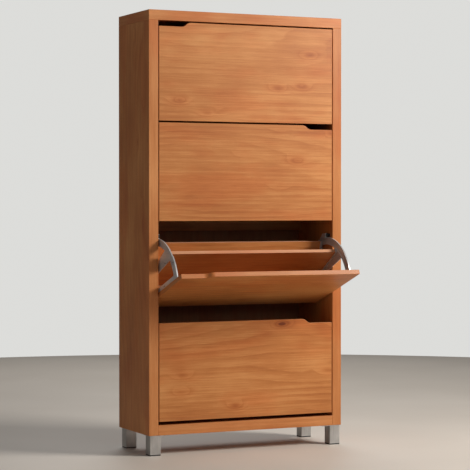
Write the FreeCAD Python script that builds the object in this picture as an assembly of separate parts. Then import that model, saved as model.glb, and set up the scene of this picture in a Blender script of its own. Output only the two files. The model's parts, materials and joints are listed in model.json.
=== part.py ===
import FreeCAD, Part
import math
import os

from FreeCAD import Vector

# A tall shoe cabinet with four tilting bins, one above the other, on four square metal legs.
# Millimetres. While it is built, X runs to the right from the middle of the cabinet, Y to the back
# from the front faces of the case, and Z up from the floor. Each piece is then moved by ORIGIN_Y, so
# that the origin is on the floor below the middle of the whole cabinet with its third bin open.

# Case
WIDTH = 750.0
DEPTH = 280.0
CASE_HEIGHT = 1465.0
PANEL = 35.0
LEG_HEIGHT = 70.0
CASE_TOP = LEG_HEIGHT + CASE_HEIGHT
INSIDE_X = WIDTH / 2 - PANEL
SIDE_TOP = CASE_TOP - PANEL
FLOOR_TOP = LEG_HEIGHT + PANEL
FIT = 0.1  # clearance round dowels, bolts and screws, on the radius

# Back: two thin boards in a groove, an H-section strip where they meet, and a rail in front of it
BACK = 3.0
BACK_Y = 266.2
GROOVE_WIDTH = 3.4
GROOVE_DEPTH = 9.0
BACK_IN_GROOVE = 8.0
STRIP_WALL = 1.0
STRIP_HEIGHT = 16.0
RAIL_THICK = 16.0
RAIL_HEIGHT = 70.0

# Flaps, all alike but for the side of the finger notch
FLAP_HALF = 337.0
FLAP_HEIGHT = 340.0
FLAP = 16.0
FLAP_GAP = 6.0
TOP_GAP = 5.0
NOTCH_DEPTH = 15.0
NOTCH_FLAT = 84.0
NOTCH_SLOPE = 36.0
NOTCH_SIDES = (-1, 1, -1, 1)  # from the top flap down: -1 is the left end
BINS = len(NOTCH_SIDES)
OPEN_BIN = 3
OPEN_ANGLE = 70.0

# Pivot of a bin, from the front bottom edge of its closed flap
PIVOT_Y = 25.0
PIVOT_H = 103.0
PIN_R = 5.0
PIN_BORE_R = 5.05
HUB_R = 8.5

# Bracket at each end of a bin; the distances in X are from the middle of the cabinet
WEB_OUT = 334.0
WEB = 3.0
RIB_IN = 324.5
RIB = 2.4
HUB_OUT = 337.2
ARM_BACK = 31.0
STRUT_FOOT = (71.0, 18.0)  # a point on the strut's straight front edge
STRUT_LEAN = 5.4
RIM_OUT = 182.0
RIM_IN = 156.5
RIM_START = 88.0  # degrees round the pivot from straight ahead, bin closed
RIM_END = 178.0
WIDE_RIM_END = 113.5  # the rim has a flange up to here
WIDE_RIM_IN = 329.5
INNER_RIB_IN = 328.5
BEAD_R = 176.0
BEAD = 1.5
HOOK_R = 197.0
HOOK_FLAT = 6.0
HOOK_RAMP = 7.0
BOARD_PLAY = 0.15
FOOT_IN = 316.0
FOOT = 2.5
FOOT_LOW = 18.0
FOOT_TIP = 292.0
FOOT_SCREWS = (42.0, 150.0, 258.0)
CORNER_R = 5.0
LEDGE = 0.8  # of the web, left inside the ribs round the front window
TIP = (284.0, 6.0)  # the raised end of the foot: where it starts, and how far it stands off the flap

# Stop peg on the side panel, round the same pivot
PEG_R = 6.0
PEG_REACH = 190.0
PEG_IN = 328.0
STOP_GAP = 0.3

# Boards of a bin
BOARD = 12.0
BOARD_HALF = 330.7
SLOT_OUT = 331.0
DIVIDER_CORNER = (74.5, 17.6)
DIVIDER_LEAN = 13.5
DIVIDER_LENGTH = 205.0
REAR_START = 47.5  # along the divider, where the rear board meets it
REAR_GAP = 0.3
REAR_RISE = 32.0
REAR_LENGTH = 115.0
POCKET_FLOOR = (16.3, 89.0, 2.6)  # front, back, underside

# Pivot plates
PLATE = 2.5
PLATE_FRONT = 17.0
PLATE_DEPTH = 42.0
PLATE_HALF = 22.0

# Legs
LEG = 40.0
LEG_WALL = 2.0
LEG_IN_X = 4.5
LEG_IN_FRONT = 2.5
LEG_IN_BACK = 16.0
LEG_PLATE = 70.0
LEG_PLATE_THICK = 2.0
GLIDE = 4.0
GLIDE_PLUG = 10.0

# Fasteners
DOWEL_R = 4.0
DOWEL_HALF = 14.0
BOLT_R = 3.0
BOLT_END = 12.0
CAM_R = 7.5
CAM_DEPTH = 12.5
CAM_INSET = 34.0
CASE_DOWELS_Y = (38.0, 242.0)
CASE_BOLTS_Y = (84.0, 182.0)
SCREW_R = 2.0
HEAD_R = 3.8
HEAD = 2.2

# Anti-tip brackets under the top panel
WALL_BRACKET_X = 280.0
WALL_BRACKET = 40.0
WALL_BRACKET_THICK = 2.0
WALL_HOLE_R = 3.0
WALL_HOLE_DROP = 24.0

FLAP_REACH = PIVOT_Y * math.cos(math.radians(OPEN_ANGLE)) - PIVOT_Y
FLAP_REACH += (FLAP_HEIGHT - PIVOT_H) * math.sin(math.radians(OPEN_ANGLE))
ORIGIN_Y = (DEPTH - FLAP_REACH) / 2

X_AXIS = Vector(1, 0, 0)
MIDDLE = Vector(0, 0, 0)


def box(x, y, z):
    """A box between the two values given for each axis."""
    low = Vector(min(x), min(y), min(z))
    return Part.makeBox(abs(x[1] - x[0]), abs(y[1] - y[0]), abs(z[1] - z[0]), low)


def rod(start, end, radius):
    along = Vector(*end) - Vector(*start)
    return Part.makeCylinder(radius, along.Length, Vector(*start), along)


def prism(points, x):
    """A polygon given as (y, z) points, between two values of X."""
    wire = Part.makePolygon([Vector(x[0], y, z) for y, z in points + points[:1]])
    return Part.Face(wire).extrude(Vector(x[1] - x[0], 0, 0))


def mirrored(shape):
    return shape.mirror(MIDDLE, X_AXIS)


def both_sides(shapes):
    return shapes + [mirrored(s) for s in shapes]


def fused(shapes):
    return shapes[0].fuse(shapes[1:]).removeSplitter()


def export(name, shapes):
    """Writes one node, from one solid or from a list of separate ones."""
    solids = shapes if isinstance(shapes, list) else [shapes]
    moved = [s.translated(Vector(0, -ORIGIN_Y, 0)) for s in solids]
    whole = moved[0] if len(moved) == 1 else Part.makeCompound(moved)
    whole.exportStep("parts/" + name + ".step")


# ---------------------------------------------------------------- bins


def flap_bottom(number):
    """Height above the floor of a flap's bottom edge; bin 1 is the top one."""
    below_top = TOP_GAP + number * FLAP_HEIGHT + (number - 1) * FLAP_GAP
    return SIDE_TOP - below_top


def round_pivot(radius, angle):
    """The (y, h) point at a distance from the pivot; the angle is from straight ahead, upward."""
    turn = math.radians(angle)
    return (PIVOT_Y - radius * math.cos(turn), PIVOT_H + radius * math.sin(turn))


def disc(radius, x):
    return rod((x[0], PIVOT_Y, PIVOT_H), (x[1], PIVOT_Y, PIVOT_H), radius)


def ring_sector(r_in, r_out, first, last, x):
    """Part of a ring round the pivot, between two angles."""
    ring = disc(r_out, x).cut(disc(r_in, x))
    steps = [first + (last - first) * i / 4 for i in range(5)]
    fan = [(PIVOT_Y, PIVOT_H)] + [round_pivot(r_out * 1.2, a) for a in steps]
    return ring.common(prism(fan, x))


def line_point(corner, rise, along, off=0.0):
    """A point on a board's face line: along it from a corner, and off it towards the board."""
    turn = math.radians(rise)
    y = corner[0] + along * math.cos(turn) + off * math.sin(turn)
    return (y, corner[1] + along * math.sin(turn) - off * math.cos(turn))


def band(corner, rise, ends, offs, x):
    """A slab beside a board's face line, between two lengths and two offsets from it."""
    points = [
        line_point(corner, rise, ends[0], offs[0]),
        line_point(corner, rise, ends[1], offs[0]),
        line_point(corner, rise, ends[1], offs[1]),
        line_point(corner, rise, ends[0], offs[1]),
    ]
    return prism(points, x)


DIVIDER_LINE = (DIVIDER_CORNER, 90.0 - DIVIDER_LEAN)
REAR_LINE = (line_point(*DIVIDER_LINE, REAR_START, BOARD + REAR_GAP), REAR_RISE)
PEG_Y = FLAP + STOP_GAP + PEG_R
PEG_ANGLE = math.degrees(math.acos((PIVOT_Y - PEG_Y) / PEG_REACH))
PEG_H = PIVOT_H + PEG_REACH * math.sin(math.radians(PEG_ANGLE))
PEG_HALF_ANGLE = math.degrees(math.asin((PEG_R + STOP_GAP) / PEG_REACH))
HOOK_FACE = OPEN_ANGLE + PEG_ANGLE + PEG_HALF_ANGLE


def flap(side):
    """A flap with its finger notch at one end; two equal arcs lead from the notch to the edge."""
    half_run = NOTCH_SLOPE / 2
    half_rise = NOTCH_DEPTH / 2
    bend = 2 * math.atan(half_rise / half_run)
    radius = half_run / math.sin(bend)
    start = -FLAP_HALF + NOTCH_FLAT
    low = FLAP_HEIGHT - NOTCH_DEPTH
    middle = Vector(start + half_run, 0, low + half_rise)

    def on_arc(centre_x, centre_z, angle):
        return Vector(centre_x + radius * math.sin(angle), 0, centre_z + radius * math.cos(angle))

    lower_mid = on_arc(start, low + radius, math.pi - bend / 2)
    upper_mid = on_arc(start + NOTCH_SLOPE, FLAP_HEIGHT - radius, -bend / 2)
    corners = [
        Vector(start + NOTCH_SLOPE, 0, FLAP_HEIGHT),
        Vector(FLAP_HALF, 0, FLAP_HEIGHT),
        Vector(FLAP_HALF, 0, 0),
        Vector(-FLAP_HALF, 0, 0),
        Vector(-FLAP_HALF, 0, low),
        Vector(start, 0, low),
    ]
    edges = [Part.makeLine(a, b) for a, b in zip(corners, corners[1:])]
    edges.append(Part.Arc(corners[-1], lower_mid, middle).toShape())
    edges.append(Part.Arc(middle, upper_mid, corners[0]).toShape())
    body = Part.Face(Part.Wire(Part.__sortEdges__(edges))).extrude(Vector(0, FLAP, 0))
    for h in FOOT_SCREWS:
        for x in (foot_screw_x(), -foot_screw_x()):
            body = body.cut(rod((x, FLAP, h), (x, FLAP - 11, h), SCREW_R + FIT))
    return mirrored(body) if side > 0 else body


def foot_screw_x():
    return FOOT_IN + 6.0


def divider():
    """Back of the front pocket: a board that leans back."""
    return band(*DIVIDER_LINE, (0, DIVIDER_LENGTH), (0, BOARD), (-BOARD_HALF, BOARD_HALF))


def rear_board():
    """Lower board of the rear pocket, rising to the back from the divider."""
    return band(*REAR_LINE, (0, REAR_LENGTH), (0, BOARD), (-BOARD_HALF, BOARD_HALF))


def pocket_floor():
    front, back, low = POCKET_FLOOR
    return box((-BOARD_HALF, BOARD_HALF), (front, back), (low, low + BOARD))


def board_slots(x):
    """The room that the three boards need in a bracket."""
    wide = (-BOARD_PLAY, BOARD + BOARD_PLAY)
    front, back, low = POCKET_FLOOR
    return [
        band(*DIVIDER_LINE, (-BOARD_PLAY, DIVIDER_LENGTH + BOARD_PLAY), wide, x),
        band(*REAR_LINE, (-BOARD_PLAY, REAR_LENGTH + BOARD_PLAY), wide, x),
        box(x, (front - 1, back + BOARD_PLAY), (low - BOARD_PLAY, low + BOARD + BOARD_PLAY)),
    ]


def rounded(window):
    """A window's prism with its corners rounded."""
    corners = [e for e in window.Edges if abs(e.tangentAt(e.FirstParameter).x) > 0.9]
    return window.makeFillet(CORNER_R, corners)


def windows(x):
    """The two openings of a bracket: before its strut, and between the divider and the rear board."""
    wall = BOARD_PLAY + RIB
    low = POCKET_FLOOR[2] + BOARD + wall + LEDGE
    ahead = band(STRUT_FOOT, 90.0 - STRUT_LEAN, (-200, 400), (0, -300), x)
    front = ahead.common(disc(RIM_IN - LEDGE, x)).common(box(x, (ARM_BACK + LEDGE, RIM_OUT), (low, 320)))
    behind = band(*DIVIDER_LINE, (-100, 300), (BOARD + wall, 300), x)
    above = band(*REAR_LINE, (-200, 300), (-wall, -400), x)
    return [rounded(front), behind.common(above).common(disc(RIM_IN, x))]


def bracket_right():
    """Moulded bracket of the right end, in the closed position, its flap's bottom edge at h = 0."""
    web_x = (WEB_OUT - WEB, WEB_OUT)
    rib_x = (RIB_IN, WEB_OUT)
    bottom = POCKET_FLOOR[2] - BOARD_PLAY - RIB
    floor_back = POCKET_FLOOR[1] + BOARD_PLAY + RIB
    bar_top = POCKET_FLOOR[2] + BOARD + BOARD_PLAY + RIB
    channel = (-BOARD_PLAY - RIB, BOARD + BOARD_PLAY + RIB)

    plate = disc(RIM_OUT, web_x)
    outline = [
        (FLAP, bottom),
        (FLAP, 320),
        round_pivot(280, 140),
        round_pivot(260, RIM_END + 2),
        line_point(*REAR_LINE, REAR_LENGTH + 4, channel[1]),
        line_point(*REAR_LINE, 5, channel[1]),
        (floor_back, bar_top),
        (floor_back, bottom),
    ]
    low = prism([(FLAP, bottom), (FLAP, PIVOT_H), (floor_back, PIVOT_H), (floor_back, bottom)], web_x)
    plate = fused([plate, low]).common(prism(outline, web_x))

    ribs = [
        ring_sector(RIM_OUT - RIB, RIM_OUT, RIM_START, WIDE_RIM_END, (WIDE_RIM_IN, WEB_OUT)),
        ring_sector(BEAD_R, RIM_OUT, WIDE_RIM_END, HOOK_FACE, (WEB_OUT - WEB, WEB_OUT + BEAD)),
        ring_sector(RIM_IN, RIM_IN + RIB, RIM_START + 3, RIM_END - 4, (INNER_RIB_IN, WEB_OUT)),
        box(rib_x, (ARM_BACK - RIB, ARM_BACK), (bar_top - 1, PIVOT_H + RIM_IN)),
        box(rib_x, (FLAP, floor_back), (bottom, bottom + RIB)),
        box(rib_x, (ARM_BACK - RIB, DIVIDER_CORNER[0]), (bar_top - RIB, bar_top)),
        box(rib_x, (floor_back - RIB, floor_back), (bottom, bar_top)),
        band(*DIVIDER_LINE, (-2, DIVIDER_LENGTH + BOARD_PLAY + RIB), channel, rib_x),
        band(*REAR_LINE, (-2, REAR_LENGTH + BOARD_PLAY + RIB), channel, rib_x),
        box((FOOT_IN, WEB_OUT), (FLAP, FLAP + FOOT), (FOOT_LOW, PIVOT_H + RIM_OUT - 3)),
        box((FOOT_IN, PEG_IN - 2), (FLAP, FLAP + FOOT), (FOOT_LOW, FOOT_TIP)),
        box((PEG_IN - 7, PEG_IN - 2), (FLAP, FLAP + TIP[1]), (TIP[0], FOOT_TIP)),
        disc(HUB_R, (RIB_IN, HUB_OUT)),
    ]
    hook = [
        round_pivot(RIM_OUT - RIB, HOOK_FACE),
        round_pivot(HOOK_R, HOOK_FACE),
        round_pivot(HOOK_R, HOOK_FACE + HOOK_FLAT),
        round_pivot(RIM_OUT - RIB, HOOK_FACE + HOOK_FLAT + HOOK_RAMP),
    ]
    inside = fused([plate] + ribs + [prism(hook, rib_x)])
    for cut in windows((RIB_IN - 1, WEB_OUT + 1)):
        thin = cut.common(box((WEB_OUT - WEB - 1, WEB_OUT + 1), (0, 300), (0, 320)))
        inside = inside.cut(thin)
    for slot in board_slots((RIB_IN - 1, SLOT_OUT)):
        inside = inside.cut(slot)
    inside = inside.cut(disc(PIN_BORE_R, (RIB_IN - 1, HUB_OUT + 1)))
    for h in FOOT_SCREWS:
        x = foot_screw_x()
        inside = inside.cut(rod((x, FLAP - 1, h), (x, FLAP + FOOT + 1, h), SCREW_R + FIT))
    return inside.removeSplitter()


def bracket_screws():
    screws = []
    for h in FOOT_SCREWS:
        x = foot_screw_x()
        shank = rod((x, FLAP - 10, h), (x, FLAP + FOOT, h), SCREW_R)
        head = rod((x, FLAP + FOOT, h), (x, FLAP + FOOT + HEAD, h), HEAD_R)
        screws.append(fused([shank, head]))
    return both_sides(screws)


def placed(shapes, number):
    """Moves shapes of a bin to its height, and tilts them if that bin is the open one."""
    height = Vector(0, 0, flap_bottom(number))
    pivot = Vector(0, PIVOT_Y, PIVOT_H)
    angle = OPEN_ANGLE if number == OPEN_BIN else 0
    return [s.rotated(pivot, X_AXIS, angle).translated(height) for s in shapes]


def make_bins():
    right = bracket_right()
    boards = {"divider": divider(), "rear_board": rear_board(), "pocket_floor": pocket_floor()}
    screws = bracket_screws()
    for number in range(1, BINS + 1):
        end = "_" + str(number)
        export("flap" + end, placed([flap(NOTCH_SIDES[number - 1])], number))
        export("bracket_right" + end, placed([right], number))
        export("bracket_left" + end, placed([mirrored(right)], number))
        for name, board in boards.items():
            export(name + end, placed([board], number))
        export("bracket_screws" + end, placed(screws, number))


# ---------------------------------------------------------------- what the bins turn on


def pivot_plate(number):
    """Plate with the pin that a bin turns on, on the inner face of the right side panel."""
    z = flap_bottom(number) + PIVOT_H
    y = (PLATE_FRONT, PLATE_FRONT + PLATE_DEPTH)
    plate = box((INSIDE_X - PLATE, INSIDE_X), y, (z - PLATE_HALF, z + PLATE_HALF))
    corners = [e for e in plate.Edges if abs(e.tangentAt(0).x) > 0.9]
    plate = plate.makeFillet(5, corners)
    pin = rod((RIB_IN + 1, PIVOT_Y, z), (INSIDE_X - PLATE, PIVOT_Y, z), PIN_R)
    body = fused([plate, pin])
    for hole in plate_screw_places(number):
        body = body.cut(rod((INSIDE_X - PLATE - 1,) + hole, (INSIDE_X + 1,) + hole, SCREW_R + FIT))
        sink = Part.makeCone(HEAD_R + FIT, SCREW_R + FIT, HEAD, Vector(INSIDE_X - PLATE, *hole), X_AXIS)
        body = body.cut(sink)
    return body


def plate_screw_places(number):
    z = flap_bottom(number) + PIVOT_H
    y = PLATE_FRONT + PLATE_DEPTH - 11
    return [(y, z - 12), (y, z + 12)]


def plate_screws():
    screws = []
    for number in range(1, BINS + 1):
        for hole in plate_screw_places(number):
            head = Part.makeCone(HEAD_R, SCREW_R, HEAD, Vector(INSIDE_X - PLATE, *hole), X_AXIS)
            shank = rod((INSIDE_X - PLATE + 1,) + hole, (INSIDE_X + 14,) + hole, SCREW_R)
            screws.append(fused([head, shank]))
    return screws


def stop_peg(number):
    z = flap_bottom(number) + PEG_H
    peg = rod((PEG_IN, PEG_Y, z), (INSIDE_X, PEG_Y, z), PEG_R)
    peg = peg.cut(rod((PEG_IN - 1, PEG_Y, z), (INSIDE_X + 1, PEG_Y, z), SCREW_R + FIT))
    return peg.cut(rod((PEG_IN - 1, PEG_Y, z), (PEG_IN + HEAD + 1, PEG_Y, z), HEAD_R + FIT))


def peg_screw(number):
    z = flap_bottom(number) + PEG_H
    head = rod((PEG_IN + 1, PEG_Y, z), (PEG_IN + HEAD + 1, PEG_Y, z), HEAD_R)
    return fused([head, rod((PEG_IN + HEAD, PEG_Y, z), (INSIDE_X + 14, PEG_Y, z), SCREW_R)])


def make_pivots():
    numbers = range(1, BINS + 1)
    plates = [pivot_plate(n) for n in numbers]
    export("pivot_plates_right", plates)
    export("pivot_plates_left", [mirrored(p) for p in plates])
    export("pivot_screws", both_sides(plate_screws()))
    export("stop_pegs", both_sides([stop_peg(n) for n in numbers]))
    export("stop_peg_screws", both_sides([peg_screw(n) for n in numbers]))


# ---------------------------------------------------------------- case


def rail_z():
    """The rail's low and high edges; its middle is level with the gap between bins 2 and 3."""
    middle = flap_bottom(2) - FLAP_GAP / 2
    return (middle - RAIL_HEIGHT / 2, middle + RAIL_HEIGHT / 2)


def rail_y():
    back = BACK_Y - FIT - STRIP_WALL - FIT
    return (back - RAIL_THICK, back)


def side_dowels():
    """Dowels of the right side: upright into the top panel, level into the bottom panel and the rail."""
    x = WIDTH / 2 - PANEL / 2
    bottom_z = LEG_HEIGHT + PANEL / 2
    y = CASE_DOWELS_Y + (sum(CASE_DOWELS_Y) / 2,)
    dowels = [rod((x, v, SIDE_TOP - DOWEL_HALF), (x, v, SIDE_TOP + DOWEL_HALF), DOWEL_R) for v in y]
    level = [(v, bottom_z) for v in y] + [(sum(rail_y()) / 2, z) for z in rail_dowel_z()]
    for v, z in level:
        dowels.append(rod((INSIDE_X - DOWEL_HALF, v, z), (INSIDE_X + DOWEL_HALF, v, z), DOWEL_R))
    return dowels


def rail_dowel_z():
    low, high = rail_z()
    return (low + 17, high - 17)


def side_bolts():
    """Cam bolts of the right side, each from its cam disc into the panel across the joint."""
    x = WIDTH / 2 - PANEL / 2
    z = LEG_HEIGHT + PANEL / 2
    bolts = []
    for y in CASE_BOLTS_Y:
        bolts.append(rod((x, y, SIDE_TOP - CAM_INSET + CAM_R), (x, y, SIDE_TOP + BOLT_END), BOLT_R))
        bolts.append(rod((INSIDE_X - CAM_INSET + CAM_R, y, z), (INSIDE_X + BOLT_END, y, z), BOLT_R))
    return bolts


def side_cams():
    """Cam discs of the right side: in the side's inner face, and in the bottom panel's underside."""
    cams = []
    for y in CASE_BOLTS_Y:
        upper = SIDE_TOP - CAM_INSET
        lower = INSIDE_X - CAM_INSET
        cams.append(rod((INSIDE_X, y, upper), (INSIDE_X + CAM_DEPTH, y, upper), CAM_R))
        cams.append(rod((lower, y, LEG_HEIGHT), (lower, y, LEG_HEIGHT + CAM_DEPTH), CAM_R))
    return cams


def cavities():
    """The holes for every dowel, bolt, cam and screw, a little wider than what goes in."""
    x = WIDTH / 2 - PANEL / 2
    z = LEG_HEIGHT + PANEL / 2
    wide = DOWEL_R + FIT
    deep = DOWEL_HALF + 1
    holes = []
    y_all = CASE_DOWELS_Y + (sum(CASE_DOWELS_Y) / 2,)
    for y in y_all:
        holes.append(rod((x, y, SIDE_TOP - deep), (x, y, SIDE_TOP + deep), wide))
        holes.append(rod((INSIDE_X - deep, y, z), (INSIDE_X + deep, y, z), wide))
    for level in rail_dowel_z():
        y = sum(rail_y()) / 2
        holes.append(rod((INSIDE_X - deep, y, level), (INSIDE_X + deep, y, level), wide))
    for y in CASE_BOLTS_Y:
        top = SIDE_TOP - CAM_INSET
        inner = INSIDE_X - CAM_INSET
        holes.append(rod((x, y, top), (x, y, SIDE_TOP + BOLT_END + 1), BOLT_R + FIT))
        holes.append(rod((inner, y, z), (INSIDE_X + BOLT_END + 1, y, z), BOLT_R + FIT))
        holes.append(rod((INSIDE_X - 1, y, top), (INSIDE_X + 2 * CAM_DEPTH, y, top), CAM_R + FIT))
        holes.append(rod((inner, y, LEG_HEIGHT - 1), (inner, y, LEG_HEIGHT + 2 * CAM_DEPTH), CAM_R + FIT))
    for number in range(1, BINS + 1):
        level = flap_bottom(number) + PEG_H
        places = plate_screw_places(number) + [(PEG_Y, level)]
        holes += [rod((INSIDE_X - 1,) + p, (INSIDE_X + 15,) + p, SCREW_R + FIT) for p in places]
    return both_sides(holes)


def groove():
    """The groove for the back, as a frame-shaped slab that is cut from all four panels."""
    reach = INSIDE_X + GROOVE_DEPTH
    height = (FLOOR_TOP - GROOVE_DEPTH, SIDE_TOP + GROOVE_DEPTH)
    return box((-reach, reach), (BACK_Y - 0.2, BACK_Y - 0.2 + GROOVE_WIDTH), height)


def make_case():
    half = WIDTH / 2
    cuts = cavities() + [groove()] + leg_screw_holes() + wall_bracket_holes()
    right = box((INSIDE_X, half), (0, DEPTH), (LEG_HEIGHT, SIDE_TOP)).cut(cuts)
    left = box((-half, -INSIDE_X), (0, DEPTH), (LEG_HEIGHT, SIDE_TOP)).cut(cuts)
    top = box((-half, half), (0, DEPTH), (SIDE_TOP, CASE_TOP)).cut(cuts)
    bottom = box((-INSIDE_X, INSIDE_X), (0, DEPTH), (LEG_HEIGHT, FLOOR_TOP)).cut(cuts)
    rail = box((-INSIDE_X, INSIDE_X), rail_y(), rail_z()).cut(cavities() + back_screw_holes())
    export("side_panel_right", right)
    export("side_panel_left", left)
    export("top_panel", top)
    export("bottom_panel", bottom)
    export("rear_rail", rail)
    export("case_dowels", both_sides(side_dowels()))
    export("cam_bolts", both_sides(side_bolts()))
    export("cam_discs", both_sides(side_cams()))


def joint_z():
    return sum(rail_z()) / 2


def back_screw_places():
    """Screws through the back boards into the rail, above and below the joint strip."""
    return [(x, joint_z() + dz) for x in (-260.0, 0.0, 260.0) for dz in (-22.0, 22.0)]


def back_screw_holes():
    holes = []
    for x, z in back_screw_places():
        holes.append(rod((x, rail_y()[1] - 12, z), (x, BACK_Y + BACK + 1, z), SCREW_R + FIT))
    return holes


def make_back():
    reach = INSIDE_X + BACK_IN_GROOVE
    y = (BACK_Y, BACK_Y + BACK)
    edge = STRIP_WALL / 2 + FIT
    holes = back_screw_holes() + wall_bracket_holes()
    upper = box((-reach, reach), y, (joint_z() + edge, SIDE_TOP + BACK_IN_GROOVE))
    lower = box((-reach, reach), y, (FLOOR_TOP - BACK_IN_GROOVE, joint_z() - edge))
    export("back_panel_upper", upper.cut(holes))
    export("back_panel_lower", lower.cut(holes))

    length = (-INSIDE_X + 0.5, INSIDE_X - 0.5)
    height = (joint_z() - STRIP_HEIGHT / 2, joint_z() + STRIP_HEIGHT / 2)
    front = (BACK_Y - FIT - STRIP_WALL, BACK_Y - FIT)
    rear = (y[1] + FIT, y[1] + FIT + STRIP_WALL)
    web = (joint_z() - STRIP_WALL / 2, joint_z() + STRIP_WALL / 2)
    walls = [box(length, front, height), box(length, rear, height)]
    export("back_joint_strip", fused(walls + [box(length, (front[0], rear[1]), web)]))

    screws = []
    for x, z in back_screw_places():
        shank = rod((x, rail_y()[1] - 11, z), (x, y[1], z), SCREW_R)
        head = rod((x, y[1], z), (x, y[1] + HEAD, z), HEAD_R)
        screws.append(fused([shank, head]))
    export("back_screws", screws)


# ---------------------------------------------------------------- anti-tip brackets


def wall_bracket_holes():
    """Holes through each bracket's upright leg and the back, and pilots up into the top panel."""
    z = SIDE_TOP - WALL_HOLE_DROP
    y = BACK_Y - WALL_BRACKET / 2
    holes = []
    for x in (-WALL_BRACKET_X, WALL_BRACKET_X):
        holes.append(rod((x, BACK_Y - 10, z), (x, BACK_Y + 10, z), WALL_HOLE_R))
        for dx in (-8, 8):
            holes.append(rod((x + dx, y, SIDE_TOP - 5), (x + dx, y, SIDE_TOP + 15), SCREW_R + FIT))
    return holes


def make_wall_brackets():
    brackets = []
    screws = []
    under = SIDE_TOP - WALL_BRACKET_THICK
    front = BACK_Y - WALL_BRACKET
    for x in (-WALL_BRACKET_X, WALL_BRACKET_X):
        across = (x - WALL_BRACKET / 2, x + WALL_BRACKET / 2)
        flat = box(across, (front, BACK_Y - FIT - 0.2), (under, SIDE_TOP))
        upright = (BACK_Y - FIT - 0.2 - WALL_BRACKET_THICK, BACK_Y - FIT - 0.2)
        leg = box(across, upright, (SIDE_TOP - WALL_BRACKET, SIDE_TOP))
        brackets.append(fused([flat, leg]).cut(wall_bracket_holes()))
        for dx in (-8, 8):
            y = BACK_Y - WALL_BRACKET / 2
            head = rod((x + dx, y, under - HEAD), (x + dx, y, under), HEAD_R)
            screws.append(fused([head, rod((x + dx, y, under), (x + dx, y, SIDE_TOP + 14), SCREW_R)]))
    export("wall_brackets", brackets)
    export("wall_bracket_screws", screws)


# ---------------------------------------------------------------- legs


def leg_corner(front):
    """X and Y of the outer corner of a right-hand leg, and the way inward along Y."""
    x = WIDTH / 2 - LEG_IN_X
    return (x, LEG_IN_FRONT, 1) if front else (x, DEPTH - LEG_IN_BACK, -1)


def leg_slab(front, size, inset, z):
    """A square slab under a right-hand corner of the case, drawn in from the leg's outer corner."""
    x, y, way = leg_corner(front)
    return box((x - inset, x - inset - size), (y + way * inset, y + way * (inset + size)), z)


def leg(front):
    plate_low = LEG_HEIGHT - LEG_PLATE_THICK
    outer = leg_slab(front, LEG, 0, (GLIDE, plate_low))
    upright = [e for e in outer.Edges if abs(e.tangentAt(0).z) > 0.9]
    outer = outer.makeFillet(1.5, upright)
    return outer.cut(leg_slab(front, LEG - 2 * LEG_WALL, LEG_WALL, (GLIDE - 1, plate_low - LEG_WALL)))


def glide(front):
    foot = leg_slab(front, LEG - 1, 0.5, (0, GLIDE))
    foot = foot.makeChamfer(0.8, [e for e in foot.Edges if max(v.Z for v in e.Vertexes) < 0.01])
    plug = leg_slab(front, LEG - 2 * LEG_WALL - 0.4, LEG_WALL + 0.2, (GLIDE, GLIDE + GLIDE_PLUG))
    return fused([foot, plug])


def leg_screw_places(front):
    x, y, way = leg_corner(front)
    inner = LEG_PLATE - 12
    return [(x - a, y + way * b) for a, b in ((inner, 12), (inner, inner), (12, inner))]


def leg_plate(front):
    plate = leg_slab(front, LEG_PLATE, 0, (LEG_HEIGHT - LEG_PLATE_THICK, LEG_HEIGHT))
    upright = [e for e in plate.Edges if abs(e.tangentAt(0).z) > 0.9]
    return plate.makeFillet(3, upright).cut(leg_screw_holes())


def leg_screw_holes():
    holes = []
    for front in (True, False):
        for x, y in leg_screw_places(front):
            holes.append(rod((x, y, LEG_HEIGHT - 5), (x, y, LEG_HEIGHT + 15), SCREW_R + FIT))
    return both_sides(holes)


def leg_screws():
    screws = []
    under = LEG_HEIGHT - LEG_PLATE_THICK
    for front in (True, False):
        for x, y in leg_screw_places(front):
            head = rod((x, y, under - HEAD), (x, y, under), HEAD_R)
            screws.append(fused([head, rod((x, y, under), (x, y, LEG_HEIGHT + 14), SCREW_R)]))
    return both_sides(screws)


def make_legs():
    for front, place in ((True, "front"), (False, "rear")):
        export("leg_" + place + "_right", leg(front))
        export("leg_" + place + "_left", mirrored(leg(front)))
    export("leg_plates", both_sides([leg_plate(True), leg_plate(False)]))
    export("leg_glides", both_sides([glide(True), glide(False)]))
    export("leg_screws", leg_screws())


os.makedirs("parts", exist_ok=True)
make_case()
make_back()
make_wall_brackets()
make_legs()
make_pivots()
make_bins()
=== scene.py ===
import json
import math

import bmesh
import bpy
from mathutils import Matrix, Vector


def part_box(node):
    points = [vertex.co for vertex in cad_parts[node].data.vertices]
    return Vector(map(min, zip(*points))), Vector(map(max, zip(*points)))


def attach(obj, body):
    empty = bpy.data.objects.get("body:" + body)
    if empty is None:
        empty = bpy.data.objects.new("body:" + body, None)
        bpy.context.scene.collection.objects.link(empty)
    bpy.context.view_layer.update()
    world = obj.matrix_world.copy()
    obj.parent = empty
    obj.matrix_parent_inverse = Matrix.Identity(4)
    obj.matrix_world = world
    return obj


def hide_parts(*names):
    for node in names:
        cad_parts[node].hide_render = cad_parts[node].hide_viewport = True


# The looks of a tall shoe cabinet with four tilting bins, in metres, in the frame of its CAD model.
# The boards are rebuilt with rounded edge bands and a grain that follows each board; the screws and
# cam discs are rebuilt with their recesses; the rest keeps its CAD shape.

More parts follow.
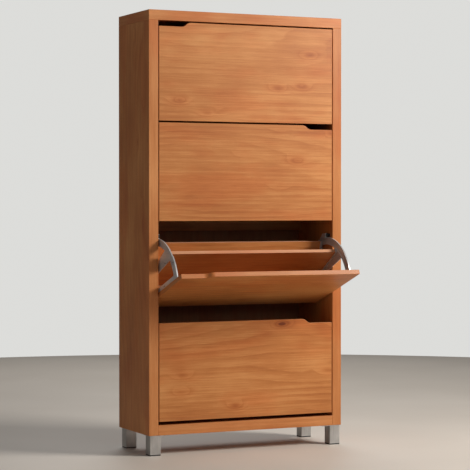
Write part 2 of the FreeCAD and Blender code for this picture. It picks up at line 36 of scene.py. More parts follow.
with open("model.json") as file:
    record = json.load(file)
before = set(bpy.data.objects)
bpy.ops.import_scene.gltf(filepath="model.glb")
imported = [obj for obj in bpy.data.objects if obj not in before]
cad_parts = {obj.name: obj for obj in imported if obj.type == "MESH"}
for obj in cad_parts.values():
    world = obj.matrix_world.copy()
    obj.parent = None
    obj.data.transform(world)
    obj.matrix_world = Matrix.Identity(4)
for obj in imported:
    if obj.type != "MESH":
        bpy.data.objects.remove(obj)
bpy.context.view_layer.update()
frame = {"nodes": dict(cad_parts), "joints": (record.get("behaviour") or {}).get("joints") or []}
nodes = frame["nodes"]

CASE = "cabinet"
BINS = (1, 2, 3, 4)
OPEN_BIN = 3
OPEN_ANGLE = math.radians(70)
PIVOT_Y = 0.025  # from a closed flap's outer face
PIVOT_H = 0.103  # from its bottom edge
NOTCH_SIDES = {1: -1, 2: 1, 3: -1, 4: 1}
NOTCH_DEPTH = 0.015
NOTCH_FLAT = 0.084
NOTCH_SLOPE = 0.036
EDGE_RADIUS = 0.0011
THIN_EDGE_RADIUS = 0.0007
BACK_EDGE_RADIUS = 0.0002
X, Y, Z = 0, 1, 2

# ---------------------------------------------------------------- node trees


class Tree:
    """A material's nodes. Every method adds one node and returns its output."""

    def __init__(self, name):
        self.material = bpy.data.materials.new(name)
        self.material.use_nodes = True
        self.nodes = self.material.node_tree.nodes
        self.links = self.material.node_tree.links
        self.shader = self.nodes["Principled BSDF"]

    def put(self, node, socket, value):
        target = node.inputs[socket]
        if isinstance(value, bpy.types.NodeSocket):
            self.links.new(value, target)
        else:
            target.default_value = value

    def add(self, kind, output, inputs, **settings):
        node = self.nodes.new(kind)
        for key, value in settings.items():
            setattr(node, key, value)
        for socket, value in inputs.items():
            self.put(node, socket, value)
        return node.outputs[output]

    def grain(self):
        """U along the grain and V across it, in metres."""
        return self.add("ShaderNodeUVMap", "UV", {}, uv_map="grain")

    def place(self):
        return self.add("ShaderNodeTexCoord", "Object", {})

    def scaled(self, vector, scale, shift=(0, 0, 0)):
        return self.add("ShaderNodeMapping", 0, {"Vector": vector, "Scale": scale, "Location": shift})

    def noise(self, vector, detail=2.0, rough=0.5, distortion=0.0):
        inputs = {"Vector": vector, "Scale": 1.0, "Detail": detail, "Roughness": rough}
        inputs["Distortion"] = distortion
        return self.add("ShaderNodeTexNoise", "Fac", inputs)

    def math(self, operation, a, b=0.0, c=0.0):
        return self.add("ShaderNodeMath", 0, {0: a, 1: b, 2: c}, operation=operation)

    def centred(self, value):
        return self.math("SUBTRACT", value, 0.5)

    def summed(self, start, terms):
        """start plus each term's value times its weight."""
        total = start
        for value, weight in terms:
            total = self.math("MULTIPLY_ADD", value, weight, total)
        return total

    def span(self, value, low, high, to_low=0.0, to_high=1.0):
        """Maps low..high to to_low..to_high and clamps it."""
        inputs = {"Value": value, "From Min": low, "From Max": high, "To Min": to_low, "To Max": to_high}
        return self.add("ShaderNodeMapRange", "Result", inputs)

    def ramp(self, value, stops):
        node = self.nodes.new("ShaderNodeValToRGB")
        self.put(node, "Fac", value)
        for element in list(node.color_ramp.elements)[1:]:
            node.color_ramp.elements.remove(element)
        node.color_ramp.elements[0].position = stops[0][0]
        node.color_ramp.elements[0].color = (*stops[0][1], 1)
        for position, colour in stops[1:]:
            node.color_ramp.elements.new(position).color = (*colour, 1)
        return node.outputs["Color"]

    def blend(self, mode, amount, a, b):
        """Mixes colour b into colour a."""
        node = self.nodes.new("ShaderNodeMix")
        node.data_type = "RGBA"
        node.blend_type = mode
        for index, value in ((0, amount), (6, a), (7, b)):
            self.put(node, index, (*value, 1) if isinstance(value, tuple) else value)
        return node.outputs[2]

    def bump(self, height, distance, strength=1.0):
        inputs = {"Height": height, "Distance": distance, "Strength": strength}
        return self.add("ShaderNodeBump", "Normal", inputs)

    def finished(self, **sockets):
        """Sets the shader's sockets; a word's underscores stand for spaces."""
        for key, value in sockets.items():
            value = (*value, 1) if isinstance(value, tuple) and len(value) == 3 else value
            self.put(self.shader, key.replace("_", " "), value)
        return self.material


# ---------------------------------------------------------------- materials

# Melamine printed as cherry, from its darkest streaks to its palest
CHERRY = ((0.190, 0.048, 0.011), (0.400, 0.126, 0.031), (0.515, 0.190, 0.052), (0.670, 0.300, 0.100))
# Paler copy of the cherry for the edge bands of the frame and flaps: the paler tone is a painted highlight
# along the edges.
CHERRY_EDGE_PAINTED_HIGHLIGHT = ((0.270, 0.078, 0.020), (0.440, 0.146, 0.040), (0.540, 0.198, 0.060), (0.680, 0.290, 0.104))
THIN_BAND_PAINTED_HIGHLIGHT = ((0.400, 0.165, 0.078), (0.530, 0.240, 0.120), (0.610, 0.300, 0.160), (0.700, 0.380, 0.225))
# Paler, pinker tone for the edges of the bins' boards: a painted highlight, drawn on all their edges alike.
HARDBOARD = ((0.200, 0.078, 0.030), (0.270, 0.108, 0.042), (0.320, 0.134, 0.054), (0.370, 0.160, 0.068))
BEECH = ((0.520, 0.340, 0.190), (0.600, 0.420, 0.250), (0.660, 0.480, 0.300), (0.720, 0.540, 0.350))


PALETTE_AT = (0.05, 0.40, 0.64, 0.92)  # the tones where a palette's four colours lie
RINGS_ACROSS = 28.0  # growth rings per metre of width
KNOTS_ALONG = 5.5  # cells per metre that may hold a knot
KNOTS_ACROSS = 13.0
KNOT_SHARE = (0.34, 0.38)  # cells with a value above this hold one
RED = (0.98, 0.82, 0.74)  # tint of the redder patches
WOOD_BUMP = 0.00006


def wood(name, palette, figure=1.0, knots=1.0, gloss=0.42, on_uv=True):
    """Printed wood: cathedral figure round small knots, fine streaks, pores and broad patches of tone."""
    t = Tree(name)
    at = t.grain() if on_uv else t.place()

    # Knots: the middles of some cells of a pattern that is stretched along the grain
    wander = t.noise(t.scaled(at, (9.0, 26.0, 1.0)), 2.0, 0.5)
    cells = t.nodes.new("ShaderNodeTexVoronoi")
    t.put(cells, "Vector", t.scaled(at, (KNOTS_ALONG, KNOTS_ACROSS, 1.0), (0.35, 0.2, 0)))
    t.put(cells, "Scale", 1.0)
    t.put(cells, "Randomness", 0.9)
    pick = t.add("ShaderNodeSeparateColor", 0, {0: cells.outputs["Color"]})
    chosen = t.span(pick, *KNOT_SHARE)
    far = t.summed(cells.outputs["Distance"], [(t.centred(wander), 0.16)])
    halo = t.math("MULTIPLY", t.span(far, 0.02, 0.42, 1.0, 0.0), chosen)
    ring = t.math("MULTIPLY", t.span(far, 0.04, 0.20, 1.0, 0.0), chosen)
    eye = t.math("MULTIPLY", t.span(far, 0.015, 0.075, 1.0, 0.0), chosen)

    # Growth rings: nearly straight lines that a broad swell bends into arches, and the knots into loops
    swell = t.noise(t.scaled(at, (1.0, 4.0, 1.0)), 1.0, 0.45, 0.2)
    lift = t.math("MULTIPLY", t.math("MULTIPLY", halo, halo), 2.6 * knots)
    across = t.add("ShaderNodeSeparateXYZ", "Y", {0: at})
    phase = t.summed(lift, [(swell, 10.0), (across, RINGS_ACROSS), (wander, 0.45)])
    saw = t.math("FRACT", phase)
    late = t.math("MULTIPLY", t.span(saw, 0.35, 0.92), t.span(saw, 0.93, 1.0, 1.0, 0.0))
    plain = t.span(t.noise(t.scaled(at, (2.1, 5.0, 1.0), (3.0, 7.0, 0)), 2.0, 0.5), 0.40, 0.62)
    late = t.math("MULTIPLY", late, t.span(t.math("MAXIMUM", plain, halo), 0.0, 1.0, 0.25, 1.0))

    streaks = t.noise(t.scaled(at, (2.0, 120.0, 1.0)), 4.0, 0.62)
    fibres = t.noise(t.scaled(at, (16.0, 760.0, 1.0)), 2.0, 0.55)
    patches = t.noise(t.scaled(at, (2.6, 5.2, 1.0), (4.1, 1.7, 0)), 3.0, 0.55)
    pores = t.span(t.noise(t.scaled(at, (60.0, 1500.0, 1.0)), 1.0, 0.5), 0.60, 0.72)

    darker = [(pores, -0.10), (ring, -0.26 * knots), (eye, -0.30 * knots)]
    varied = [(t.centred(streaks), 0.54), (t.centred(fibres), 0.40), (t.centred(patches), 0.80)]
    tone = t.summed(0.685, [(late, -0.17 * figure)] + varied + darker)
    colour = t.ramp(tone, list(zip(PALETTE_AT, palette)))
    warmth = t.noise(t.scaled(at, (2.4, 7.0, 1.0), (9.0, 5.0, 0)), 3.0, 0.6)
    redder = t.math("MAXIMUM", t.span(warmth, 0.47, 0.60, 0.0, 0.9), t.math("MULTIPLY", halo, 0.8 * knots))
    colour = t.blend("MULTIPLY", redder, colour, RED)

    relief = t.summed(t.math("MULTIPLY", fibres, 0.5), [(pores, -0.8)])
    rough = t.summed(gloss, [(t.centred(streaks), 0.16), (pores, 0.10)])
    normal = t.bump(relief, WOOD_BUMP, 0.7)
    return t.finished(Base_Color=colour, Roughness=rough, Normal=normal, Specular_IOR_Level=0.3)


def plastic(name, dark, light, rough, grain=900.0, depth=0.00004, metallic=0.0):
    """Moulded plastic with a fine spark-eroded texture and faint flow marks."""
    t = Tree(name)
    at = t.place()
    fine = t.noise(t.scaled(at, (grain,) * 3), 2.0, 0.6)
    flow = t.noise(t.scaled(at, (14.0, 9.0, 22.0)), 3.0, 0.55, 0.8)
    mix = t.summed(flow, [(t.centred(fine), 0.5)])
    colour = t.ramp(mix, [(0.32, dark), (0.68, light)])
    roughness = t.summed(rough, [(t.centred(flow), 0.22)])
    normal = t.bump(fine, depth, 0.6)
    return t.finished(Base_Color=colour, Roughness=roughness, Normal=normal, Metallic=metallic)


def metal(name, dark, light, rough, stretch, depth=0.00003):
    """Metal with fine lines or scratches; stretch gives the noise's scale along each axis."""
    t = Tree(name)
    at = t.place()
    lines = t.noise(t.scaled(at, stretch), 3.0, 0.6)
    clouds = t.noise(t.scaled(at, (18.0, 18.0, 11.0)), 3.0, 0.6)
    mix = t.summed(clouds, [(t.centred(lines), 0.9)])
    colour = t.ramp(mix, [(0.25, dark), (0.75, light)])
    roughness = t.summed(rough, [(t.centred(lines), 0.28), (t.centred(clouds), 0.2)])
    normal = t.bump(lines, depth, 0.5)
    return t.finished(Base_Color=colour, Roughness=roughness, Normal=normal, Metallic=1.0)


BAND_GLOSS = 0.38
# Each edge material below is paler than its face, with less figure and no knots: a painted highlight along
# the edges.
FRAME_FACE = wood("cherry_frame", CHERRY, figure=0.7, knots=0.5)
FRAME_EDGE_PAINTED_HIGHLIGHT = wood("cherry_frame_edge_painted_highlight", CHERRY_EDGE_PAINTED_HIGHLIGHT, figure=0.35, knots=0.0, gloss=BAND_GLOSS)
FLAP_FACE = wood("cherry_flap", CHERRY)
FLAP_EDGE_PAINTED_HIGHLIGHT = wood("cherry_flap_edge_painted_highlight", CHERRY_EDGE_PAINTED_HIGHLIGHT, figure=0.35, knots=0.0, gloss=BAND_GLOSS)
BOARD_FACE = wood("cherry_board", CHERRY, figure=0.8, knots=0.6)
BOARD_EDGE_PAINTED_HIGHLIGHT = wood("cherry_board_edge_painted_highlight", THIN_BAND_PAINTED_HIGHLIGHT, figure=0.3, knots=0.0, gloss=BAND_GLOSS)
BACK_FACE = wood("hardboard", HARDBOARD, figure=0.8, knots=0.4, gloss=0.55)
PEG_WOOD = wood("beech", BEECH, figure=0.4, knots=0.0, gloss=0.7, on_uv=False)
SILVER = plastic("silver_moulding", (0.46, 0.46, 0.46), (0.66, 0.66, 0.65), 0.30, metallic=0.35)
BROWN = plastic("brown_extrusion", (0.12, 0.05, 0.02), (0.20, 0.085, 0.038), 0.5)
BLACK = plastic("black_moulding", (0.012, 0.012, 0.012), (0.03, 0.03, 0.03), 0.5)
RUBBER = plastic("black_rubber", (0.010, 0.010, 0.010), (0.022, 0.022, 0.022), 0.8, 1400.0, 0.00008)
LEG_METAL = metal("brushed_leg", (0.42, 0.41, 0.40), (0.66, 0.65, 0.63), 0.43, (700.0, 700.0, 9.0))
ZINC = metal("zinc_plate", (0.45, 0.46, 0.47), (0.66, 0.67, 0.68), 0.40, (160.0, 120.0, 140.0))
SCREW = metal("zinc_screw", (0.48, 0.48, 0.49), (0.72, 0.72, 0.72), 0.30, (900.0, 900.0, 900.0))
CAM = metal("cast_zinc", (0.30, 0.30, 0.31), (0.50, 0.50, 0.51), 0.5, (600.0, 600.0, 600.0), 0.00006)

# ---------------------------------------------------------------- meshes

BEVEL_ANGLE = math.radians(50)  # a board's edges sharper than this are rounded
SHARP_ANGLE = math.radians(40)  # edges sharper than this stay sharp in the shading
FLAT_FACE = 0.999  # how squarely a polygon faces to belong to a board's face
NOTCH_STEPS = 6
BOARD_SHIFT = (1.37, 0.83)  # of the grain from one board to the next

def piece(name, mesh, body, slot, *replaced):
    """Links a finished mesh as a piece that rides on a body and stands for CAD nodes."""
    made = bpy.data.objects.new(name, mesh)
    bpy.context.scene.collection.objects.link(made)
    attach(made, body)
    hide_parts(*replaced)


def applied(mesh, modifiers):
    """The mesh after modifiers, each given as (type, settings)."""
    carrier = bpy.data.objects.new("carrier", mesh)
    bpy.context.scene.collection.objects.link(carrier)
    for kind, settings in modifiers:
        modifier = carrier.modifiers.new(kind, kind)
        for key, value in settings.items():
            setattr(modifier, key, value)
    graph = bpy.context.evaluated_depsgraph_get()
    result = bpy.data.meshes.new_from_object(carrier.evaluated_get(graph), depsgraph=graph)
    bpy.data.objects.remove(carrier)
    return result


def slab(outline, thickness, radius):
    """A board from its outline in X and Z, with Y its thickness from 0, and all its edges rounded."""
    b = bmesh.new()
    front = b.faces.new([b.verts.new((x, 0, z)) for x, z in outline])
    moved = bmesh.ops.extrude_face_region(b, geom=[front])["geom"]
    far = [v for v in moved if isinstance(v, bmesh.types.BMVert)]
    bmesh.ops.translate(b, vec=(0, thickness, 0), verts=far)
    bmesh.ops.recalc_face_normals(b, faces=b.faces)
    sharp = [e for e in b.edges if e.calc_face_angle(0) > BEVEL_ANGLE]
    bmesh.ops.bevel(b, geom=sharp, offset=radius, segments=3, profile=0.5, affect="EDGES")
    mesh = bpy.data.meshes.new("slab")
    b.to_mesh(mesh)
    b.free()
    return mesh


def rectangle(width, height):
    return [(0, 0), (width, 0), (width, height), (0, height)]


def flap_outline(width, height, side):
    """A flap's outline with a finger notch at one end, whose side leads up in two equal arcs."""
    half = width / 2
    run = NOTCH_SLOPE / 2
    bend = 2 * math.atan(NOTCH_DEPTH / NOTCH_SLOPE)
    radius = run / math.sin(bend)
    start = half - NOTCH_FLAT
    curve = []
    for i in range(NOTCH_STEPS + 1):
        angle = bend * i / NOTCH_STEPS
        curve.append((radius * math.sin(angle), radius * (1 - math.cos(angle))))
    points = [(-half, 0), (half, 0), (half, height - NOTCH_DEPTH)]
    points += [(start - reach, height - NOTCH_DEPTH + rise) for reach, rise in curve]
    points += [(start - NOTCH_SLOPE + reach, height - rise) for reach, rise in reversed(curve[:-1])]
    points.append((-half, height))
    return points if side > 0 else [(-x, z) for x, z in reversed(points)]


def grained(mesh, long_axis, thin_axis, seed, face, edge):
    """Lays the grain along a board: its UVs, in metres, and its face and edge band materials."""
    mesh.materials.clear()
    mesh.materials.append(face)
    mesh.materials.append(edge)
    wide_axis = 3 - long_axis - thin_axis
    layer = mesh.uv_layers.new(name="grain")
    shift = Vector(BOARD_SHIFT) * seed
    for polygon in mesh.polygons:
        size = [abs(v) for v in polygon.normal]
        facing = size.index(max(size))
        flat = size[thin_axis] > FLAT_FACE
        polygon.material_index = 0 if flat else 1
        along = wide_axis if facing == long_axis else long_axis
        across = wide_axis if facing == thin_axis else thin_axis
        aside = Vector((0, 0)) if flat else Vector((0.31 * (facing + 1), 0.47))
        for corner in polygon.loop_indices:
            at = mesh.vertices[mesh.loops[corner].vertex_index].co
            layer.data[corner].uv = Vector((at[along], at[across])) + shift + aside
        polygon.use_smooth = True
    return mesh


def smoothed(mesh):
    """Keeps flat faces flat beside their rounded edges."""
    mesh.set_sharp_from_angle(angle=SHARP_ANGLE)
    return applied(mesh, [("WEIGHTED_NORMAL", {"keep_sharp": True, "weight": 100})])


def drum(radius, start, end, sides=32):
    """A plain cylinder mesh between two points, for drilling."""
    b = bmesh.new()
    axis = Vector(end) - Vector(start)
    turn = axis.to_track_quat("Z", "Y").to_matrix().to_4x4()
    middle = Matrix.Translation((Vector(start) + Vector(end)) / 2)
    size = {"segments": sides, "radius1": radius, "radius2": radius, "depth": axis.length}
    bmesh.ops.create_cone(b, cap_ends=True, matrix=middle @ turn, **size)
    mesh = bpy.data.meshes.new("drum")
    b.to_mesh(mesh)
    b.free()
    return mesh


def joined(meshes, name):
    b = bmesh.new()
    for mesh in meshes:
        b.from_mesh(mesh)
    whole = bpy.data.meshes.new(name)
    b.to_mesh(whole)
    b.free()
    return whole


def drilled(mesh, drums):
    """The mesh with holes cut in it, one for each drum."""
    cutter = bpy.data.objects.new("cutter", joined(drums, "cutter"))
    bpy.context.scene.collection.objects.link(cutter)
    cut = applied(mesh, [("BOOLEAN", {"operation": "DIFFERENCE", "solver": "EXACT", "object": cutter})])
    bpy.data.objects.remove(cutter)
    return cut


# ---------------------------------------------------------------- screws and cam discs

SCREW_HEAD = 0.0022  # height of a head
SCREW_R = 0.0020
SCREW_TIP = 0.0018
HEAD_R = 0.0038
SUNK_RIM = 0.0002  # straight edge of a countersunk head
DOME = ((0.0, 0.0), (0.5, 0.06), (0.8, 0.22), (0.95, 0.45), (1.0, 0.72), (1.0, 1.0))  # in HEAD_R, SCREW_HEAD
CROSS = (0.0044, 0.0009, 0.0014)  # a cross recess: its length, its width and its depth
SCREW_TURN = 0.7  # from one screw's cross to the next
CAM_R = 0.0075
CAM_SINK = 0.0004  # a cam disc's face below the board's
CAM_RIM = 0.0009  # width and height of its raised rim
CAM_CHAMFER = 0.0002
CAM_PLAY = 0.0002  # round a disc in its recess
CAM_END = 0.001  # from the disc's inner end to its recess's
CAM_CROSS = (0.0096, 0.0018, 0.0040)
CAM_TURN = 0.9
OVERCUT = 0.002  # a recess's drill past the board's face
ISLAND_MERGE = 1e-6
LATHE_MERGE = 1e-7
SAME_PLACE = 1e-5
ALONG_X = Vector((1, 0, 0))
ALONG_Y = Vector((0, 1, 0))
ALONG_Z = Vector((0, 0, 1))


def islands(node):
    """The vertices of each separate solid of a CAD node."""
    b = bmesh.new()
    b.from_mesh(nodes[node].data)
    bmesh.ops.remove_doubles(b, verts=b.verts, dist=ISLAND_MERGE)
    left = set(b.verts)
    groups = []
    while left:
        front = [left.pop()]
        group = list(front)
        while front:
            near = {e.other_vert(v) for v in front for e in v.link_edges} & left
            left -= near
            front = list(near)
            group += front
        groups.append([v.co.copy() for v in group])
    b.free()
    return sorted(groups, key=lambda g: tuple(round(c, 4) for c in sum(g, Vector()) / len(g)))


def lathe(profile, steps=28):
    """A closed round mesh about Z from its profile, given as (radius, z) from the axis to the axis."""
    b = bmesh.new()
    made = [b.verts.new((r, 0, z)) for r, z in profile]
    edges = [b.edges.new(pair) for pair in zip(made, made[1:])]
    bmesh.ops.spin(b, geom=made + edges, cent=(0, 0, 0), axis=(0, 0, 1), angle=math.tau, steps=steps)
    bmesh.ops.remove_doubles(b, verts=b.verts, dist=LATHE_MERGE)
    bmesh.ops.recalc_face_normals(b, faces=b.faces)
    mesh = bpy.data.meshes.new("lathe")
    b.to_mesh(mesh)
    b.free()
    return mesh


def block(size, middle):
    b = bmesh.new()
    bmesh.ops.create_cube(b, size=1.0, matrix=Matrix.Translation(middle) @ Matrix.Diagonal((*size, 1)))
    mesh = bpy.data.meshes.new("block")
    b.to_mesh(mesh)
    b.free()
    return mesh


def crossed(mesh, top, cross):
    """The mesh with a cross recess cut in its top."""
    length, width, depth = cross
    for size in ((length, width, 2 * depth), (width, length, 2 * depth)):
        mesh = drilled(mesh, [block(size, (0, 0, top))])
    return mesh


def screw_mesh(length, sunk):
    """A screw with its top at Z = 0, pointing down: a domed head, or a flat one with a conical underside."""
    tip = [(SCREW_R, SCREW_TIP - length), (0.0, -length)]
    if sunk:
        head = [(0.0, 0.0), (HEAD_R, 0.0), (HEAD_R, -SUNK_RIM), (SCREW_R, -SCREW_HEAD)]
    else:
        head = [(HEAD_R * r, -SCREW_HEAD * z) for r, z in DOME] + [(SCREW_R, -SCREW_HEAD)]
    return crossed(lathe(head + tip), 0.0, CROSS)


def aimed(out, turn):
    """The rotation that points Z along out, after a turn about Z."""
    return out.to_track_quat("Z", "Y").to_matrix().to_4x4() @ Matrix.Rotation(turn, 4, "Z")


def along_axis(points, axis):
    """The middle of the end where the solid is widest, the way out of it, and the solid's length."""
    spans = [p.dot(axis) for p in points]
    low, high = min(spans), max(spans)

    def spread(level):
        end = [p for p, s in zip(points, spans) if abs(s - level) < SAME_PLACE]
        core = sum(end, Vector()) / len(end)
        return max((p - core).length for p in end), core

    wide_low, core_low = spread(low)
    wide_high, core_high = spread(high)
    if wide_low > wide_high:
        return core_low, -axis, high - low
    return core_high, axis, high - low


def make_screws(node, body, axis, sunk=False):
    """Rebuilds every screw of a CAD node; axis is the line that they all lie along."""
    meshes = []
    for index, points in enumerate(islands(node)):
        top, out, length = along_axis(points, axis)
        mesh = screw_mesh(length, sunk)
        mesh.transform(Matrix.Translation(top) @ aimed(out, SCREW_TURN * index))
        meshes.append(mesh)
    whole = joined(meshes, node)
    whole.materials.append(SCREW)
    whole.shade_smooth()
    piece(node + "_cross_head", smoothed(whole), body, "screw_steel", node)


class Cam:
    """A cam disc: a round drum with a raised rim and a cross slot, sunk in a board."""

    def __init__(self, points):
        low = Vector([min(p[i] for p in points) for i in range(3)])
        high = Vector([max(p[i] for p in points) for i in range(3)])
        self.middle = (low + high) / 2
        size = high - low
        if size.x < size.z:
            side = 1 if self.middle.x > 0 else -1
            self.board = "side_panel_right" if side > 0 else "side_panel_left"
            self.out = Vector((-side, 0, 0))
            self.depth = size.x
        else:
            self.board = "bottom_panel"
            self.out = Vector((0, 0, -1))
            self.depth = size.z
        self.face = self.middle + self.out * self.depth / 2

    def recess(self):
        """The drill for its hole: the radius and both ends."""
        return CAM_R + CAM_PLAY, self.face + self.out * OVERCUT, self.face - self.out * self.depth

    def mesh(self, turn):
        rim = CAM_R - CAM_RIM
        end = CAM_END - self.depth
        profile = [(0.0, -CAM_RIM), (rim, -CAM_RIM), (rim, 0.0)]
        profile += [(CAM_R - CAM_CHAMFER, 0.0), (CAM_R, -CAM_CHAMFER), (CAM_R, end), (0.0, end)]
        mesh = crossed(lathe(profile), -CAM_RIM, CAM_CROSS)
        mesh.transform(Matrix.Translation(self.face - self.out * CAM_SINK) @ aimed(self.out, turn))
        return mesh


CAMS = [Cam(points) for points in islands("cam_discs")]


def make_cams():
    whole = joined([cam.mesh(CAM_TURN * i) for i, cam in enumerate(CAMS)], "cam_discs")
    whole.materials.append(CAM)
    whole.shade_smooth()
    piece("cam_discs_slotted", smoothed(whole), CASE, "cam_metal", "cam_discs")


def make_fasteners():
    tilted = bin_matrix(OPEN_BIN).to_3x3() @ ALONG_Y
    for number in BINS:
        axis = tilted if number == OPEN_BIN else ALONG_Y
        make_screws("bracket_screws_%d" % number, "bin_%d" % number, axis)
    make_screws("back_screws", CASE, ALONG_Y)
    make_screws("wall_bracket_screws", CASE, ALONG_Z)
    make_screws("leg_screws", CASE, ALONG_Z)
    make_screws("stop_peg_screws", CASE, ALONG_X)
    make_screws("pivot_screws", CASE, ALONG_X, sunk=True)
    make_cams()


# ---------------------------------------------------------------- the case


# A kind of case board: its slot, edge radius, face material and edge material
FRAME = ("frame_wood", EDGE_RADIUS, FRAME_FACE, FRAME_EDGE_PAINTED_HIGHLIGHT)
BACK = ("back_board", BACK_EDGE_RADIUS, BACK_FACE, BACK_FACE)


def case_board(name, kind, long_axis, thin_axis, seed):
    """A straight board of the case, from its CAD box, with recesses for the cam discs in its faces."""
    slot, radius, face, edge = kind
    low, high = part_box(name)
    size = high - low
    mesh = slab(rectangle(size.x, size.z), size.y, radius)
    mesh.transform(Matrix.Translation(low))
    recesses = [drum(*cam.recess()) for cam in CAMS if cam.board == name]
    if recesses:
        mesh = drilled(mesh, recesses)
    grained(mesh, long_axis, thin_axis, seed, face, edge)
    piece(name + "_board", smoothed(mesh), CASE, slot, name)


def make_case():
    case_board("side_panel_left", FRAME, Z, X, 1.0)
    case_board("side_panel_right", FRAME, Z, X, 2.0)
    case_board("top_panel", FRAME, X, Z, 3.0)
    case_board("bottom_panel", FRAME, X, Z, 4.0)
    case_board("rear_rail", FRAME, X, Y, 5.0)
    case_board("back_panel_upper", BACK, Z, Y, 6.0)
    case_board("back_panel_lower", BACK, Z, Y, 7.0)


# ---------------------------------------------------------------- the bins

FLAP_LOW, FLAP_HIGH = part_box("flap_1")
FLAP_SIZE = FLAP_HIGH - FLAP_LOW
BIN_BOARDS = (("divider", 20.0), ("rear_board", 30.0), ("pocket_floor", 40.0))  # each with its grain's seed
FLAP_SEED = 10.0


def bin_matrix(number):
    """From a bin's own frame, with the closed flap's outer bottom edge at Y = Z = 0, to its place."""
    joint = next(j for j in frame["joints"] if j["child"] == "bin_%d" % number)
    pivot = Vector(joint["pos_m"])
    angle = OPEN_ANGLE if number == OPEN_BIN else 0.0
    turn = Matrix.Rotation(angle, 4, "X")
    return Matrix.Translation((0, pivot.y, pivot.z)) @ turn @ Matrix.Translation((0, -PIVOT_Y, -PIVOT_H))


def make_flap(number):
    outline = flap_outline(FLAP_SIZE.x, FLAP_SIZE.z, NOTCH_SIDES[number])
    mesh = slab(outline, FLAP_SIZE.y, EDGE_RADIUS)
    grained(mesh, X, Y, FLAP_SEED + number, FLAP_FACE, FLAP_EDGE_PAINTED_HIGHLIGHT)
    mesh = smoothed(mesh)
    mesh.transform(bin_matrix(number))
    piece("flap_%d_board" % number, mesh, "bin_%d" % number, "flap_wood", "flap_%d" % number)


def box_axes(node):
    """A straight board's lowest left corner and its edges along X, up and through, from its CAD mesh."""
    points = [v.co for v in nodes[node].data.vertices]
    low_x = min(p.x for p in points)
    end = [p for p in points if p.x < low_x + SAME_PLACE]
    corner = min(end, key=lambda p: (round(p.z, 5), p.y))
    others = sorted({tuple(round(c, 5) for c in p - corner) for p in end}, key=lambda p: Vector(p).length)
    thin = Vector(others[1])
    wide = Vector(others[2])
    return corner.copy(), max(p.x for p in points) - low_x, wide, thin


def make_board(kind, number, seed):
    """A board of a bin, laid out flat for its grain and then put in its place."""
    node = "%s_%d" % (kind, number)
    corner, length, wide, thin = box_axes(node)
    mesh = slab(rectangle(length, wide.length), thin.length, THIN_EDGE_RADIUS)
    grained(mesh, X, Y, seed + number, BOARD_FACE, BOARD_EDGE_PAINTED_HIGHLIGHT)
    mesh = smoothed(mesh)
    turn = Matrix((ALONG_X, thin.normalized(), wide.normalized())).transposed().to_4x4()
    mesh.transform(Matrix.Translation(corner) @ turn)
    if turn.determinant() < 0:
        mesh.flip_normals()
    piece(node + "_board", mesh, "bin_%d" % number, "board_wood", node)


def make_bins():
    for number in BINS:
        make_flap(number)
        for kind, seed in BIN_BOARDS:
            make_board(kind, number, seed)


# ---------------------------------------------------------------- CAD nodes that keep their shape


CASE_COATS = {
    "case_dowels": PEG_WOOD,
    "cam_bolts": SCREW,
    "back_joint_strip": BROWN,
    "wall_brackets": ZINC,
    "leg_plates": ZINC,
    "leg_glides": BLACK,
    "stop_pegs": RUBBER,
}


def coat(node, material):
    nodes[node].data.materials.clear()
    nodes[node].data.materials.append(material)


def coat_all():
    for node, material in CASE_COATS.items():
        coat(node, material)
    for side in ("left", "right"):
        coat("pivot_plates_" + side, ZINC)
        for end in ("front", "rear"):
            coat("leg_%s_%s" % (end, side), LEG_METAL)
        for number in BINS:
            coat("bracket_%s_%d" % (side, number), SILVER)


# ---------------------------------------------------------------- camera, floor and light


CAMERA_PLACE = (-2.712, -5.671, 0.867)
CAMERA_TILT = 89.01  # degrees; 90 looks level
CAMERA_TURN = -25.30  # degrees from facing the front
CAMERA_LENS = 136.1  # millimetres, on a sensor SENSOR wide
SENSOR = 36.0
FLOOR_RADIUS = 4.0
FLOOR_TONES = [(0.3, (0.64, 0.58, 0.51)), (0.7, (0.69, 0.63, 0.56))]
LIGHT_AIM = (0, 0, 0.8)
# Each light: its name, place, size, power and colour
LIGHTS = (
    ("key", (2.2, -1.8, 2.15), (1.1, 1.1), 108.0, (1.0, 0.97, 0.93)),
    ("front", (0.4, -4.8, 2.6), (2.4, 2.4), 20.0, (1.0, 0.98, 0.95)),
    ("left", (-3.2, -0.6, 1.6), (1.6, 2.2), 7.0, (1.0, 0.93, 0.86)),
    ("back", (1.2, 3.4, 2.6), (2.6, 2.0), 45.0, (1.0, 0.98, 0.95)),
)
ROOM_LIGHT = (0.80, 0.82, 0.84, 1)
ROOM_STRENGTH = 0.12
BACKDROP = (0.72, 0.72, 0.70, 1)


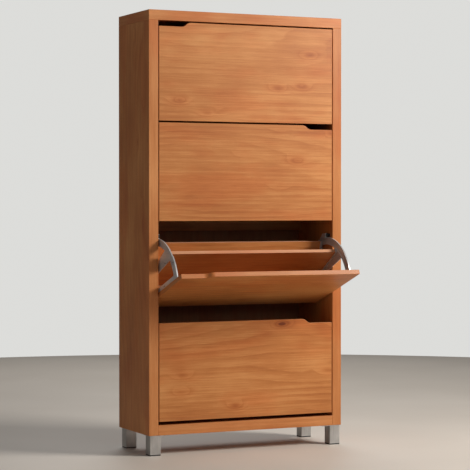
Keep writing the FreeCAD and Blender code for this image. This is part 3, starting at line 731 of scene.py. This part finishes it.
def make_camera():
    data = bpy.data.cameras.new("camera")
    data.lens = CAMERA_LENS
    data.sensor_width = SENSOR
    camera = bpy.data.objects.new("camera", data)
    camera.location = CAMERA_PLACE
    camera.rotation_euler = (math.radians(CAMERA_TILT), 0, math.radians(CAMERA_TURN))
    bpy.context.scene.collection.objects.link(camera)
    bpy.context.scene.camera = camera


def make_floor():
    b = bmesh.new()
    bmesh.ops.create_circle(b, cap_ends=True, segments=96, radius=FLOOR_RADIUS)
    mesh = bpy.data.meshes.new("floor")
    b.to_mesh(mesh)
    b.free()
    t = Tree("pale_floor")
    tone = t.noise(t.scaled(t.place(), (1.5, 1.5, 1.5)), 2.0, 0.5)
    colour = t.ramp(tone, FLOOR_TONES)
    mesh.materials.append(t.finished(Base_Color=colour, Roughness=0.55))
    floor = bpy.data.objects.new("floor", mesh)
    bpy.context.scene.collection.objects.link(floor)


def area_light(name, place, size, power, colour):
    data = bpy.data.lights.new(name, "AREA")
    data.shape = "RECTANGLE"
    data.size, data.size_y = size
    data.energy = power
    data.color = colour
    lamp = bpy.data.objects.new(name, data)
    lamp.location = place
    lamp.rotation_euler = (Vector(LIGHT_AIM) - Vector(place)).to_track_quat("-Z", "Y").to_euler()
    bpy.context.scene.collection.objects.link(lamp)


def make_light():
    for light in LIGHTS:
        area_light(*light)
    make_world()
    bpy.context.scene.view_settings.view_transform = "Standard"


def make_world():
    """A pale room to look at, which lights the object only faintly."""
    world = bpy.data.worlds.new("studio")
    bpy.context.scene.world = world
    world.use_nodes = True
    tree = world.node_tree
    dim = tree.nodes["Background"]
    dim.inputs["Color"].default_value = ROOM_LIGHT
    dim.inputs["Strength"].default_value = ROOM_STRENGTH
    pale = tree.nodes.new("ShaderNodeBackground")
    pale.inputs["Color"].default_value = BACKDROP
    seen = tree.nodes.new("ShaderNodeLightPath")
    mix = tree.nodes.new("ShaderNodeMixShader")
    tree.links.new(seen.outputs["Is Camera Ray"], mix.inputs[0])
    tree.links.new(dim.outputs[0], mix.inputs[1])
    tree.links.new(pale.outputs[0], mix.inputs[2])
    tree.links.new(mix.outputs[0], tree.nodes["World Output"].inputs["Surface"])


coat_all()
make_case()
make_bins()
make_fasteners()
make_camera()
make_floor()
make_light()
